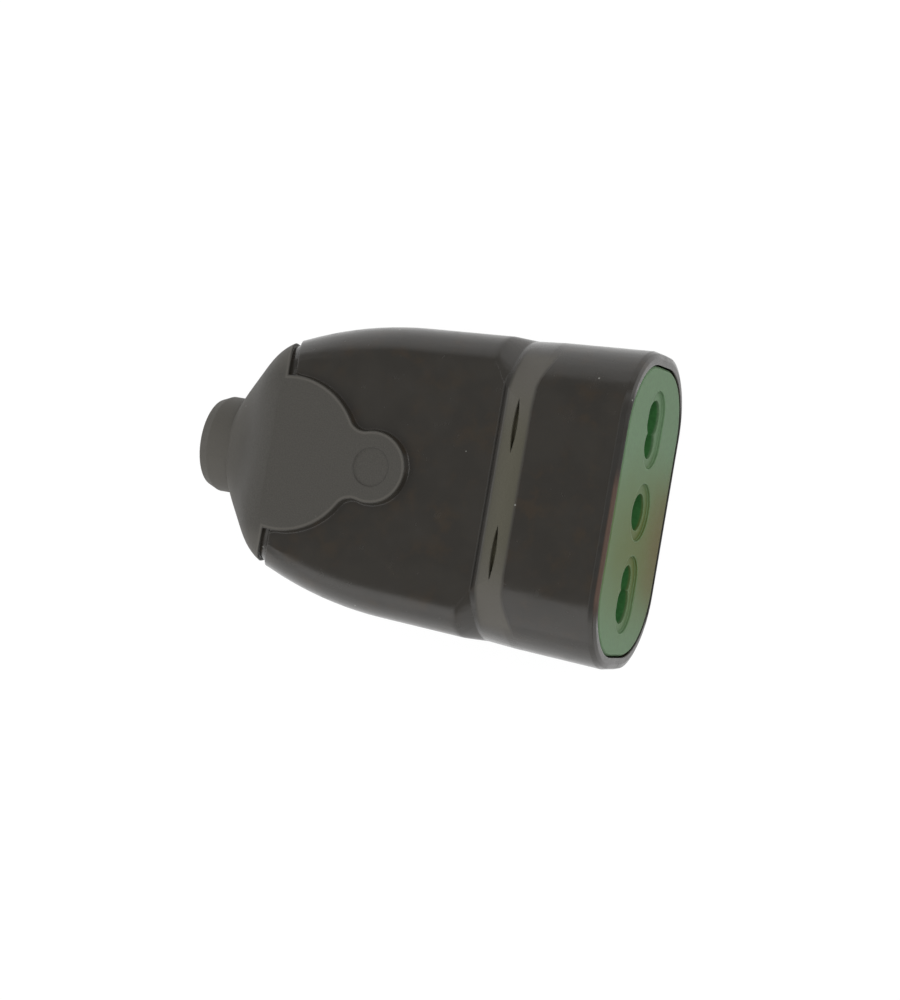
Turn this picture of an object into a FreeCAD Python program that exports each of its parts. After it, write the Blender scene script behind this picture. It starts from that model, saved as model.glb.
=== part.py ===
import FreeCAD, Part
import math
import os

# A straight cable socket: a one-piece rubber housing with a drawn-out insert that carries the contacts.
# It lies on one broad face. +X runs along the socket's axis towards the mouth, +Z is up, and the origin
# is under the middle of the length, on the plane that the socket rests on. Sizes are in millimetres.
# A depth is measured from the mouth plane back towards the cord, and a reach from the cord end forward;
# y and z are measured from the axis.

# Rubber housing, outside
OVERALL_LENGTH = 66.0
BODY_THICKNESS = 26.6
MOUTH_WIDTH = 44.2
KNEE_DEPTH = 33.0
KNEE_WIDTH = 41.2
SHOULDER_REACH = 12.5
SHOULDER_WIDTH = 31.1
SLOPE_REACH = 15.0
CORNER = 8.0
MOUTH_CORNER = 10.8
RIM_ROUND = 0.9
NECK_DIAMETER = 14.0
NECK_LENGTH = 4.95
NECK_ROUND = 2.0
COLLAR_TUCK = 0.6

# Where the collar's sections stand, as shares of its fall to the neck
FALL_SHARES = (0.25, 0.5, 0.75, 0.92)

# Waist: a hollow that falls away from the front face, with two lens-shaped slits, and the sunken panel behind
WAIST_DEPTH = 13.4
WAIST_LENGTH = 4.8
WAIST_SINK = 1.3
WAIST_CORNER = 12.6
WAIST_RISE = 2.0
PANEL_SINK = 1.1
SLIT_OFFSET = 2.1
SLIT_SPACING = 17.4
SLIT_LENGTH = 7.6
SLIT_WIDTH = 0.76
SLIT_SINK = 1.5

# Label pad: a round tongue on a larger round pad, standing up from the panel, with a moat at each flank
TONGUE_REACH = 30.7
TONGUE_RADIUS = 5.0
PAD_REACH = 17.4
PAD_RADIUS = 10.9
VALLEY_RADIUS = 2.5
TURN_RADIUS = 1.6
FLANK_REACH = 16.0
FLANK_SWEEP = 3.6
PAD_DRAFT = 0.3
FLANK_WIDTH = 1.2
FLANK_SINK = 0.6
DIMPLE_RADIUS = 2.7
DIMPLE_SINK = 0.15

# Rubber housing, inside
MOUTH_SIDE_WALL = 1.8
MOUTH_FACE_WALL = 1.3
SIDE_WALL = 1.7
FACE_WALL = 3.1
CHAMBER_WIDTH = 29.0
CHAMBER_REACH = 13.5
CHAMBER_CORNER = 5.0
CORD_BORE = 9.5

# Insert as a whole
FLANGE_DEPTH = 9.0
FLANGE_BEVEL = 0.35
FLANGE_CLEARANCE = 0.2
BODY_CLEARANCE = 0.3
BODY_CORNER = 5.0
BASE_REACH = 42.0
BASE_LENGTH = 13.5
REAR_GAP = 0.8

# Pin pattern
WIDE_PITCH = 26.0
WIDE_PIN = 5.0
NARROW_PITCH = 19.0
NARROW_PIN = 4.0
ENTRY_CLEARANCE = 0.1
EARTH_RECESS = 8.1
LINE_RECESS_LENGTH = 10.9
LINE_RECESS_WIDTH = 7.4
RECESS_SINK = 0.4
FACE_THICKNESS = 6.0

# Contacts
SLEEVE_WALL = 0.7
SLEEVE_CLEARANCE = 0.05
SLEEVE_GAP = 0.1
SLEEVE_END_GAP = 1.9
JAW_SLOT = 0.6
JAW_ROOT = 5.0
SPRING_THICKNESS = 0.45
SPRING_CLEARANCE = 0.03
SPRING_LENGTH = 4.0
SPRING_OFFSET = 1.5
SPRING_SLOT = 1.6
CHAMBER_CLEARANCE = 0.3
TAIL_WIDTH = 4.0
TAIL_LENGTH = 13.0
TAIL_OVERLAP = 3.5
TAIL_CLEARANCE = 0.15

# Terminals
LINE_TERMINAL_SPACING = 24.0
CAGE_WIDTH = 6.6
CAGE_LENGTH = 7.0
CAGE_WALL = 1.1
CAGE_ROOF = 2.6
CAGE_WINDOW = 5.2
CAGE_OFFSET = 3.0
CAGE_CLEARANCE = 0.15
TERMINAL_SCREW = 3.2
TERMINAL_SCREW_LIFT = 1.2
TERMINAL_BITE = 1.6
ACCESS_CLEARANCE = 0.5

# Screws that hold the base to the face insert
INSERT_SCREW_SPACING = 10.4
INSERT_SCREW_HEIGHT = 7.2
INSERT_SCREW = 2.6
INSERT_SCREW_REACH = 9.0
INSERT_HEAD = 4.6
INSERT_HEAD_HEIGHT = 1.7
SCREW_CLEARANCE = 0.1
SCREW_SLOT = 0.8
SCREW_SLOT_SINK = 0.9

# Cord clamp on the base's rear ledge
LEDGE_LENGTH = 9.5
LEDGE_WIDTH = 24.0
LEDGE_BOTTOM = 8.5
LEDGE_TOP = 3.2
CORD_DIAMETER = 8.4
LAND_WIDTH = 5.2
LAND_TOP = 0.4
SADDLE_LENGTH = 5.4
SADDLE_OFFSET = 2.3
SADDLE_ARCH_WALL = 2.2
EAR_THICKNESS = 2.6
CLAMP_SCREW_SPACING = 18.4
CLAMP_SCREW = 2.8
CLAMP_SCREW_REACH = 7.0
CLAMP_HEAD = 5.0
CLAMP_HEAD_HEIGHT = 2.0

# Margins that only let a cutting tool run past the material
PAST = 1.0
TINY = 0.05

AXIS_Z = BODY_THICKNESS / 2
MOUTH_X = OVERALL_LENGTH / 2
SHOULDER_DEPTH = OVERALL_LENGTH - SHOULDER_REACH
SLOPE_DEPTH = OVERALL_LENGTH - SLOPE_REACH
TONGUE_DEPTH = OVERALL_LENGTH - TONGUE_REACH
PAD_DEPTH = OVERALL_LENGTH - PAD_REACH
FLANK_DEPTH = OVERALL_LENGTH - FLANK_REACH
CHAMBER_DEPTH = OVERALL_LENGTH - CHAMBER_REACH
BASE_DEPTH = OVERALL_LENGTH - BASE_REACH
BASE_REAR = BASE_DEPTH + BASE_LENGTH
WAIST_REAR = WAIST_DEPTH + WAIST_LENGTH
NECK_RADIUS = NECK_DIAMETER / 2
WIDE_Y = WIDE_PITCH / 2
NARROW_Y = NARROW_PITCH / 2
LINE_Y = LINE_TERMINAL_SPACING / 2
SLEEVE_FRONT = FACE_THICKNESS + SLEEVE_GAP
SLEEVE_REAR = BASE_DEPTH - SLEEVE_END_GAP
JAW_END = SLEEVE_REAR - JAW_ROOT
WIDE_BORE = WIDE_PIN / 2 + SLEEVE_CLEARANCE
NARROW_BORE = NARROW_PIN / 2 + SLEEVE_CLEARANCE
TAIL_TOP = -WIDE_BORE
TAIL_BOTTOM = TAIL_TOP - SLEEVE_WALL
TAIL_END = SLEEVE_REAR + TAIL_LENGTH
CAGE_FRONT = BASE_DEPTH + CAGE_OFFSET
CAGE_REAR = CAGE_FRONT + CAGE_LENGTH
CAGE_FLOOR = TAIL_BOTTOM - CAGE_WALL
CAGE_CEILING = TAIL_BOTTOM + CAGE_WINDOW
CAGE_TOP = CAGE_CEILING + CAGE_ROOF
CAGE_MIDDLE = (CAGE_FRONT + CAGE_REAR) / 2
SADDLE_FRONT = BASE_REAR + SADDLE_OFFSET
SADDLE_REAR = SADDLE_FRONT + SADDLE_LENGTH
SADDLE_MIDDLE = (SADDLE_FRONT + SADDLE_REAR) / 2


def point(depth, y, z):
    """A point at a depth behind the mouth, with y and z measured from the axis."""
    return FreeCAD.Vector(MOUTH_X - depth, y, AXIS_Z + z)


def box(front, rear, y_low, y_high, z_low, z_high):
    """A box between two depths."""
    return Part.makeBox(rear - front, y_high - y_low, z_high - z_low, point(rear, y_low, z_low))


def rod(radius, front, rear, y=0.0, z=0.0):
    """A cylinder along the axis, between two depths."""
    return Part.makeCylinder(radius, rear - front, point(rear, y, z), FreeCAD.Vector(1, 0, 0))


def post(radius, z_low, z_high, depth, y):
    """An upright cylinder."""
    return Part.makeCylinder(radius, z_high - z_low, point(depth, y, z_low), FreeCAD.Vector(0, 0, 1))


def line(start, end):
    """A straight edge."""
    return Part.LineSegment(start, end).toShape()


def arc(start, middle, end):
    """A round edge through three points."""
    return Part.Arc(start, middle, end).toShape()


def prism(edges, direction):
    """A solid drawn out from a closed loop of edges."""
    face = Part.Face(Part.Wire(Part.__sortEdges__(edges)))
    return face.extrude(direction)


def rounded_wire(depth, width, height, radius):
    """A rectangle with rounded corners, across the axis at a depth."""
    half_y = width / 2
    half_z = height / 2
    corner = min(radius, half_y - TINY, half_z - TINY)
    bend = corner * (1 - math.sqrt(0.5))
    edges = []
    previous = None
    for y_sign, z_sign, sideways in ((1, 1, False), (-1, 1, True), (-1, -1, False), (1, -1, True)):
        low = point(depth, y_sign * half_y, z_sign * (half_z - corner))
        high = point(depth, y_sign * (half_y - corner), z_sign * half_z)
        middle = point(depth, y_sign * (half_y - bend), z_sign * (half_z - bend))
        start, end = (high, low) if sideways else (low, high)
        if previous is None:
            first = start
        else:
            edges.append(line(previous, start))
        edges.append(arc(start, middle, end))
        previous = end
    edges.append(line(previous, first))
    return Part.Wire(edges)


def rounded_block(front, rear, width, height, radius):
    """A straight block with rounded corners, between two depths."""
    face = Part.Face(rounded_wire(front, width, height, radius))
    return face.extrude(FreeCAD.Vector(front - rear, 0, 0))


def edges_at_depth(shape, depth):
    """The edges that lie in the plane across the axis at a depth."""
    x = MOUTH_X - depth
    return [edge for edge in shape.Edges if all(abs(vertex.X - x) < TINY for vertex in edge.Vertexes)]


def mirrored_z(shape):
    """The same shape on the other broad face."""
    return shape.mirror(point(0, 0, 0), FreeCAD.Vector(0, 0, 1))


def mirrored_y(shape):
    """The same shape on the other side."""
    return shape.mirror(point(0, 0, 0), FreeCAD.Vector(0, 1, 0))


def neck_root():
    """Depth at which the collar has come in to the neck."""
    return OVERALL_LENGTH - NECK_LENGTH


def collar_half_width(depth):
    """Half the collar's width: an arc in plan about the axis, through the shoulder and the neck's root."""
    shoulder = SHOULDER_DEPTH ** 2 + (SHOULDER_WIDTH / 2) ** 2
    root = neck_root() ** 2 + NECK_RADIUS ** 2
    centre = (root - shoulder) / 2 / (neck_root() - SHOULDER_DEPTH)
    radius = math.hypot(neck_root() - centre, NECK_RADIUS)
    return math.sqrt(radius ** 2 - (depth - centre) ** 2)


def half_width(depth):
    """Half the housing's width: a straight taper, an arc tangent to it, then the collar's arc."""
    slope = (MOUTH_WIDTH - KNEE_WIDTH) / 2 / KNEE_DEPTH
    if depth <= KNEE_DEPTH:
        return MOUTH_WIDTH / 2 - slope * depth
    if depth > SHOULDER_DEPTH:
        return collar_half_width(depth)
    run = SHOULDER_DEPTH - KNEE_DEPTH
    fall = (KNEE_WIDTH - SHOULDER_WIDTH) / 2
    length = math.hypot(1, slope)
    radius = (run ** 2 + fall ** 2) / 2 / ((fall - slope * run) / length)
    centre_depth = KNEE_DEPTH - radius * slope / length
    centre_y = KNEE_WIDTH / 2 - radius / length
    return centre_y + math.sqrt(radius ** 2 - (depth - centre_depth) ** 2)


def slope_share(depth):
    """0 where the broad faces start to fall towards the neck, 1 at the neck."""
    return max(0.0, (depth - SLOPE_DEPTH) / (neck_root() - SLOPE_DEPTH))


def half_thickness(depth):
    """Half the housing's thickness: flat, then an easy fall to the neck."""
    fall = BODY_THICKNESS / 2 - NECK_RADIUS
    return NECK_RADIUS + fall * (1 + math.cos(math.pi * slope_share(depth))) / 2


def corner_radius(depth):
    """Radius of the section's corners, which becomes the neck's own radius."""
    return CORNER + (NECK_RADIUS - CORNER) * slope_share(depth)


def skin_wire(depth, inset):
    """The housing's section at a depth, drawn in all round by an inset."""
    width = 2 * (half_width(depth) - inset)
    height = 2 * (half_thickness(depth) - inset)
    return rounded_wire(depth, width, height, corner_radius(depth) - inset)


def stretch(front, rear, corner, inset):
    """The housing between two depths: its plan drawn up to full thickness, with rounded long edges."""
    height = BODY_THICKNESS / 2 - inset
    bend = min(rear, KNEE_DEPTH)

    def rim(depth, side):
        return point(depth, side * (half_width(depth) - inset), -height)

    edges = [line(rim(front, 1), rim(front, -1)), line(rim(rear, 1), rim(rear, -1))]
    for side in (1, -1):
        edges.append(line(rim(front, side), rim(bend, side)))
        if rear > bend:
            edges.append(arc(rim(bend, side), rim((bend + rear) / 2, side), rim(rear, side)))
    block = prism(edges, FreeCAD.Vector(0, 0, 2 * height))
    long_edges = [edge for edge in block.Edges if edge.BoundBox.XLength > TINY]
    return block.makeFillet(corner - inset, long_edges)


def rear_body(inset):
    """The stretch between the waist and the collar, drawn in all round by an inset."""
    return stretch(WAIST_REAR + WAIST_RISE, SLOPE_DEPTH, CORNER, inset)


def end_wire(shape, depth):
    """The outline of a shape's flat end at a depth."""
    x = MOUTH_X - depth
    ends = [face for face in shape.Faces if abs(face.BoundBox.XMin - x) + abs(face.BoundBox.XMax - x) < TINY]
    return ends[0].OuterWire


def rim_wire(depth, inset):
    """The mouth's outline at a depth, drawn in all round by an inset."""
    width = 2 * (half_width(depth) - inset)
    return rounded_wire(depth, width, BODY_THICKNESS - 2 * inset, MOUTH_CORNER - inset)


def waist_wire():
    """The housing's outline at the rear of the waist, where its corners have fallen in."""
    return rounded_wire(WAIST_REAR, 2 * half_width(WAIST_REAR), BODY_THICKNESS, WAIST_CORNER)


def front_body():
    """The mouth end with its rim rounded off in two bevels, the waist, and the squarer stretch behind."""
    half_turn = RIM_ROUND * (1 - math.sqrt(0.5))
    mouth = stretch(RIM_ROUND, WAIST_DEPTH, MOUTH_CORNER, 0)
    rear = rear_body(0)
    rim_wires = [rim_wire(0, RIM_ROUND), rim_wire(half_turn, half_turn), end_wire(mouth, RIM_ROUND)]
    rim = Part.makeLoft(rim_wires, True, True)
    waist_wires = [end_wire(mouth, WAIST_DEPTH), waist_wire(), end_wire(rear, WAIST_REAR + WAIST_RISE)]
    waist = Part.makeLoft(waist_wires, True, True)
    return mouth.multiFuse([rim, waist, rear]).removeSplitter()


def collar(inset, body):
    """The stretch behind the front body, falling from the body's end section to the neck."""
    fall = neck_root() - SLOPE_DEPTH
    wires = [end_wire(body, SLOPE_DEPTH)]
    wires += [skin_wire(SLOPE_DEPTH + fall * share, inset) for share in FALL_SHARES]
    tip = NECK_RADIUS - COLLAR_TUCK - inset
    wires.append(rounded_wire(neck_root(), 2 * tip, 2 * tip, tip - COLLAR_TUCK))
    return Part.makeLoft(wires, True, False)


def neck():
    """The round cord neck behind the collar, its end rounded off in two bevels."""
    half_turn = NECK_ROUND * (1 - math.sqrt(0.5))
    profile = [
        point(SLOPE_DEPTH, 0, 0),
        point(SLOPE_DEPTH, 0, NECK_RADIUS),
        point(OVERALL_LENGTH - NECK_ROUND, 0, NECK_RADIUS),
        point(OVERALL_LENGTH - half_turn, 0, NECK_RADIUS - half_turn),
        point(OVERALL_LENGTH, 0, NECK_RADIUS - NECK_ROUND),
        point(OVERALL_LENGTH, 0, 0),
    ]
    face = Part.Face(Part.makePolygon(profile + profile[:1]))
    return face.revolve(profile[0], FreeCAD.Vector(1, 0, 0), 360)


def tangent_centre(first, first_radius, second, second_radius):
    """Centre, in plan, of a circle at given distances from two points on the axis; the one with y above 0."""
    apart = second - first
    along = (first_radius ** 2 - second_radius ** 2 + apart ** 2) / 2 / apart
    return first + along, math.sqrt(first_radius ** 2 - along ** 2)


def towards(start, end, distance):
    """The plan point at a distance from start on the way to end."""
    length = math.hypot(end[0] - start[0], end[1] - start[1])
    share = distance / length
    return start[0] + (end[0] - start[0]) * share, start[1] + (end[1] - start[1]) * share


def plan_arc(centre, start, end, z):
    """The shorter arc about a plan centre between two plan points, at a height."""
    radius = math.hypot(start[0] - centre[0], start[1] - centre[1])
    chord_middle = ((start[0] + end[0]) / 2, (start[1] + end[1]) / 2)
    middle = towards(centre, chord_middle, radius)
    return arc(point(*start, z), point(*middle, z), point(*end, z))


def pad_wire(grow, z):
    """Outline of the label pad and the collar behind it, grown outwards by an amount, at a height."""
    tongue = (TONGUE_DEPTH, 0.0)
    pad = (PAD_DEPTH, 0.0)
    valley = tangent_centre(
        TONGUE_DEPTH, TONGUE_RADIUS + VALLEY_RADIUS, PAD_DEPTH, PAD_RADIUS + VALLEY_RADIUS)
    turn_depth = FLANK_DEPTH - TURN_RADIUS
    reach = PAD_RADIUS + TURN_RADIUS
    turn = (turn_depth, math.sqrt(reach ** 2 - (turn_depth - PAD_DEPTH) ** 2))
    tip = (TONGUE_DEPTH - TONGUE_RADIUS - grow, 0.0)
    leave_tongue = towards(tongue, valley, TONGUE_RADIUS + grow)
    join_pad = towards(pad, valley, PAD_RADIUS + grow)
    leave_pad = towards(pad, turn, PAD_RADIUS + grow)
    join_flank = (FLANK_DEPTH - grow, turn[1])
    outer = (FLANK_DEPTH - grow, MOUTH_WIDTH)
    edges = []
    for side in (1, -1):
        def flip(place):
            return place[0], side * place[1]
        edges += [
            plan_arc(tongue, flip(tip), flip(leave_tongue), z),
            plan_arc(flip(valley), flip(leave_tongue), flip(join_pad), z),
            plan_arc(pad, flip(join_pad), flip(leave_pad), z),
            plan_arc(flip(turn), flip(leave_pad), flip(join_flank), z),
            line(point(*flip(join_flank), z), point(*flip(outer), z)),
            line(point(*flip(outer), z), point(OVERALL_LENGTH, side * MOUTH_WIDTH, z)),
        ]
    edges.append(line(point(OVERALL_LENGTH, MOUTH_WIDTH, z), point(OVERALL_LENGTH, -MOUTH_WIDTH, z)))
    return Part.Wire(Part.__sortEdges__(edges))


def pad_solid():
    """The pad and collar as an upright solid from the panel's floor, its walls leaning in by the draft."""
    top = BODY_THICKNESS / 2
    floor = top - PANEL_SINK
    return Part.makeLoft([pad_wire(PAD_DRAFT, floor), pad_wire(-PAD_DRAFT, 2 * top - floor)], True, True)


def flank_moat():
    """The moat round the two sides: a swept-back band, sunk below the skin."""
    top = BODY_THICKNESS / 2
    near = FLANK_DEPTH - FLANK_WIDTH
    far = FLANK_DEPTH
    edges = [
        arc(point(near, 0, top), point(near + FLANK_SWEEP, 0, 0), point(near, 0, -top)),
        line(point(near, 0, -top), point(far, 0, -top)),
        arc(point(far, 0, -top), point(far + FLANK_SWEEP, 0, 0), point(far, 0, top)),
        line(point(far, 0, top), point(near, 0, top)),
    ]
    band = prism(edges, FreeCAD.Vector(0, MOUTH_WIDTH, 0))
    band.translate(FreeCAD.Vector(0, PAD_RADIUS, 0))
    body = rear_body(FLANK_SINK)
    side = band.cut([body, collar(FLANK_SINK, body)])
    return side.fuse(mirrored_y(side))


def sunken_panel():
    """What is taken off the upper broad face: the waist's hollow and the panel behind it."""
    top = BODY_THICKNESS / 2
    past = top + PAST
    end = FLANK_DEPTH + PAST
    radius = (WAIST_LENGTH ** 2 + WAIST_SINK ** 2) / 2 / WAIST_SINK
    middle_drop = radius - math.sqrt(radius ** 2 - WAIST_LENGTH ** 2 / 4)

    def spot(depth, z):
        return point(depth, -MOUTH_WIDTH, z)

    hollow_middle = spot((WAIST_DEPTH + WAIST_REAR) / 2, top - middle_drop)
    hollow = arc(spot(WAIST_DEPTH, top), hollow_middle, spot(WAIST_REAR, top - WAIST_SINK))
    corners = [
        spot(WAIST_REAR, top - WAIST_SINK),
        spot(WAIST_REAR, top - PANEL_SINK),
        spot(end, top - PANEL_SINK),
        spot(end, past),
        spot(WAIST_DEPTH, past),
        spot(WAIST_DEPTH, top),
    ]
    edges = [hollow] + [line(start, finish) for start, finish in zip(corners, corners[1:])]
    return prism(edges, FreeCAD.Vector(0, 2 * MOUTH_WIDTH, 0))


def waist_slits():
    """The two lens-shaped slits in the upper waist band."""
    depth = WAIST_DEPTH + SLIT_OFFSET
    low = BODY_THICKNESS / 2 - SLIT_SINK
    slits = []
    for y in (-SLIT_SPACING / 2, SLIT_SPACING / 2):
        start = point(depth, y - SLIT_LENGTH / 2, low)
        end = point(depth, y + SLIT_LENGTH / 2, low)
        edges = [
            arc(start, point(depth - SLIT_WIDTH / 2, y, low), end),
            arc(end, point(depth + SLIT_WIDTH / 2, y, low), start),
        ]
        slits.append(prism(edges, FreeCAD.Vector(0, 0, SLIT_SINK + PAST)))
    return slits


def face_cuts():
    """Everything that is sunk into the upper broad face."""
    dimple_floor = BODY_THICKNESS / 2 - DIMPLE_SINK
    dimple = post(DIMPLE_RADIUS, dimple_floor, BODY_THICKNESS / 2 + PAST, TONGUE_DEPTH, 0)
    return [sunken_panel().cut(pad_solid()), dimple] + waist_slits()


def pocket_size():
    """Width, height and corner radius of the mouth pocket."""
    width = MOUTH_WIDTH - 2 * MOUTH_SIDE_WALL
    height = BODY_THICKNESS - 2 * MOUTH_FACE_WALL
    return width, height, MOUTH_CORNER - MOUTH_FACE_WALL


def cavity_size():
    """Width, height and corner radius of the long cavity behind the pocket."""
    width = 2 * (half_width(BASE_REAR + REAR_GAP) - SIDE_WALL)
    return width, BODY_THICKNESS - 2 * FACE_WALL, BODY_CORNER + BODY_CLEARANCE


def housing_inside():
    """The pocket, the cavity, the wiring chamber and the cord bore."""
    cavity_end = BASE_REAR + REAR_GAP
    height = BODY_THICKNESS - 2 * FACE_WALL
    return [
        rounded_block(-PAST, FLANGE_DEPTH, *pocket_size()),
        rounded_block(FLANGE_DEPTH - TINY, cavity_end, *cavity_size()),
        rounded_block(cavity_end - TINY, CHAMBER_DEPTH, CHAMBER_WIDTH, height, CHAMBER_CORNER),
        rod(CORD_BORE / 2, CHAMBER_DEPTH - TINY, OVERALL_LENGTH + PAST),
    ]


def rubber_housing():
    """The whole rubber moulding."""
    body = front_body()
    outside = body.multiFuse([collar(0, body), neck()])
    hollow = outside.cut(housing_inside())
    upper = face_cuts()
    lower = [mirrored_z(cut) for cut in upper]
    return hollow.cut(upper + lower).cut(flank_moat())


def tangent_prism(front, rear, sides):
    """A prism with flat sides, each given by its angle and the y and radius of the circle it touches."""
    corners = []
    for (angle, y, radius), (next_angle, next_y, next_radius) in zip(sides, sides[1:] + sides[:1]):
        reach = y * math.cos(angle) + radius
        next_reach = next_y * math.cos(next_angle) + next_radius
        turn = math.sin(next_angle - angle)
        corner_y = (reach * math.sin(next_angle) - next_reach * math.sin(angle)) / turn
        corner_z = (next_reach * math.cos(angle) - reach * math.cos(next_angle)) / turn
        corners.append(point(front, corner_y, corner_z))
    edges = [line(start, end) for start, end in zip(corners, corners[1:] + corners[:1])]
    return prism(edges, FreeCAD.Vector(front - rear, 0, 0))


def earth_wrap(front, rear, grow):
    """An eight-sided prism round the earth contact's bore."""
    sides = [(step * math.pi / 4, 0.0, WIDE_BORE + grow) for step in range(8)]
    return tangent_prism(front, rear, sides)


def line_wrap(front, rear, side, grow):
    """An eight-sided prism round both bores of a line contact."""
    wide = WIDE_BORE + grow
    narrow = NARROW_BORE + grow
    flank = math.pi / 2 + math.asin((wide - narrow) / (WIDE_Y - NARROW_Y))
    step = math.pi / 4
    sides = [(angle, WIDE_Y, wide) for angle in (-step, 0, step, flank)]
    sides += [(angle, NARROW_Y, narrow) for angle in (3 * step, 4 * step, 5 * step)]
    sides.append((-flank, WIDE_Y, wide))
    wrap = tangent_prism(front, rear, sides)
    return wrap if side > 0 else mirrored_y(wrap)


def stadium(front, rear, y, length, width):
    """A block with round ends, its long side across the socket, between two depths."""
    reach = (length - width) / 2
    middle = box(front, rear, y - reach, y + reach, -width / 2, width / 2)
    ends = [rod(width / 2, front, rear, y + reach), rod(width / 2, front, rear, y - reach)]
    return middle.multiFuse(ends).removeSplitter()


def chamber_grow():
    """How far a contact's chamber stands out from its bores."""
    return SLEEVE_WALL + SPRING_CLEARANCE + SPRING_THICKNESS + CHAMBER_CLEARANCE


def body_size():
    """Width, height and corner radius of the insert behind its flange."""
    width, height, radius = cavity_size()
    return width - 2 * BODY_CLEARANCE, height - 2 * BODY_CLEARANCE, radius - BODY_CLEARANCE


def face_insert():
    """The coloured moulding with the pin openings and the contact chambers."""
    width, height, radius = pocket_size()
    slack = 2 * FLANGE_CLEARANCE
    flange = rounded_block(0, FLANGE_DEPTH, width - slack, height - slack, radius - FLANGE_CLEARANCE)
    flange = flange.makeChamfer(FLANGE_BEVEL, edges_at_depth(flange, 0))
    moulding = flange.fuse(rounded_block(FLANGE_DEPTH - TINY, BASE_DEPTH, *body_size()))
    wide = WIDE_PIN / 2 + ENTRY_CLEARANCE
    narrow = NARROW_PIN / 2 + ENTRY_CLEARANCE
    grow = chamber_grow()
    rear = BASE_DEPTH + PAST
    cuts = [
        rod(wide, -PAST, FACE_THICKNESS + TINY),
        rod(EARTH_RECESS / 2, -PAST, RECESS_SINK),
        earth_wrap(FACE_THICKNESS, rear, grow),
    ]
    recess_y = (WIDE_Y + wide + NARROW_Y - narrow) / 2
    for side in (1, -1):
        cuts += [
            rod(wide, -PAST, FACE_THICKNESS + TINY, side * WIDE_Y),
            rod(narrow, -PAST, FACE_THICKNESS + TINY, side * NARROW_Y),
            stadium(-PAST, RECESS_SINK, side * recess_y, LINE_RECESS_LENGTH, LINE_RECESS_WIDTH),
            line_wrap(FACE_THICKNESS, rear, side, grow),
        ]
        screw_y = side * INSERT_SCREW_SPACING / 2
        screw_end = BASE_DEPTH - INSERT_SCREW_REACH - SCREW_CLEARANCE
        cuts.append(rod(INSERT_SCREW / 2 + SCREW_CLEARANCE, screw_end, rear, screw_y, INSERT_SCREW_HEIGHT))
    return moulding.cut(cuts)


def terminal_pocket(y):
    """The space in the base for one terminal: the tail's slot, the cage's pocket and the screw's window."""
    half = CAGE_WIDTH / 2 + CAGE_CLEARANCE
    slot = TAIL_WIDTH / 2 + TAIL_CLEARANCE
    pocket_front = CAGE_FRONT - CAGE_CLEARANCE
    access = TERMINAL_SCREW / 2 + ACCESS_CLEARANCE
    return [
        box(BASE_DEPTH - PAST, pocket_front + TINY, y - slot, y + slot,
            TAIL_BOTTOM - TAIL_CLEARANCE, TAIL_TOP + TAIL_CLEARANCE),
        box(pocket_front, BASE_REAR + PAST, y - half, y + half, CAGE_FLOOR, CAGE_TOP + CAGE_CLEARANCE),
        box(CAGE_MIDDLE - access, CAGE_MIDDLE + access, y - access, y + access, CAGE_TOP, BODY_THICKNESS / 2),
    ]


def terminal_base():
    """The rear moulding: terminal pockets and the ledge of the cord clamp with its two lands."""
    block = rounded_block(BASE_DEPTH, BASE_REAR, *body_size())
    ledge = box(BASE_REAR - TINY, BASE_REAR + LEDGE_LENGTH,
                -LEDGE_WIDTH / 2, LEDGE_WIDTH / 2, -LEDGE_BOTTOM, -LEDGE_TOP)
    added = [ledge]
    cuts = [rod(CORD_DIAMETER / 2, BASE_REAR, BASE_REAR + LEDGE_LENGTH + PAST)]
    for y in (-LINE_Y, 0.0, LINE_Y):
        cuts += terminal_pocket(y)
    for side in (1, -1):
        screw_y = side * INSERT_SCREW_SPACING / 2
        clamp_y = side * CLAMP_SCREW_SPACING / 2
        added.append(box(SADDLE_FRONT, SADDLE_REAR, clamp_y - LAND_WIDTH / 2, clamp_y + LAND_WIDTH / 2,
                         -LEDGE_TOP - TINY, -LAND_TOP))
        cuts += [
            rod(INSERT_SCREW / 2 + SCREW_CLEARANCE, BASE_DEPTH - PAST, BASE_REAR + PAST,
                screw_y, INSERT_SCREW_HEIGHT),
            post(CLAMP_SCREW / 2 + SCREW_CLEARANCE, -LAND_TOP - CLAMP_SCREW_REACH - SCREW_CLEARANCE,
                 -LAND_TOP + PAST, SADDLE_MIDDLE, clamp_y),
        ]
    return block.multiFuse(added).removeSplitter().cut(cuts)


def contact_tail(y):
    """The flat strip behind a contact's sleeve."""
    half = TAIL_WIDTH / 2
    return box(SLEEVE_REAR - TAIL_OVERLAP, TAIL_END, y - half, y + half, TAIL_BOTTOM, TAIL_TOP)


def line_contact(side):
    """A brass contact with a sleeve for each pitch, slit into an upper and a lower jaw."""
    outer = [
        rod(WIDE_BORE + SLEEVE_WALL, SLEEVE_FRONT, SLEEVE_REAR, side * WIDE_Y),
        rod(NARROW_BORE + SLEEVE_WALL, SLEEVE_FRONT, SLEEVE_REAR, side * NARROW_Y),
    ]
    sleeve = contact_tail(side * LINE_Y).multiFuse(outer).removeSplitter()
    y_low, y_high = sorted((side * (NARROW_Y - NARROW_PITCH / 2), side * (WIDE_Y + WIDE_PITCH / 2)))
    return sleeve.cut([
        rod(WIDE_BORE, SLEEVE_FRONT - PAST, SLEEVE_REAR + TINY, side * WIDE_Y),
        rod(NARROW_BORE, SLEEVE_FRONT - PAST, SLEEVE_REAR + TINY, side * NARROW_Y),
        box(SLEEVE_FRONT - PAST, JAW_END, y_low, y_high, -JAW_SLOT / 2, JAW_SLOT / 2),
    ])


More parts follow.
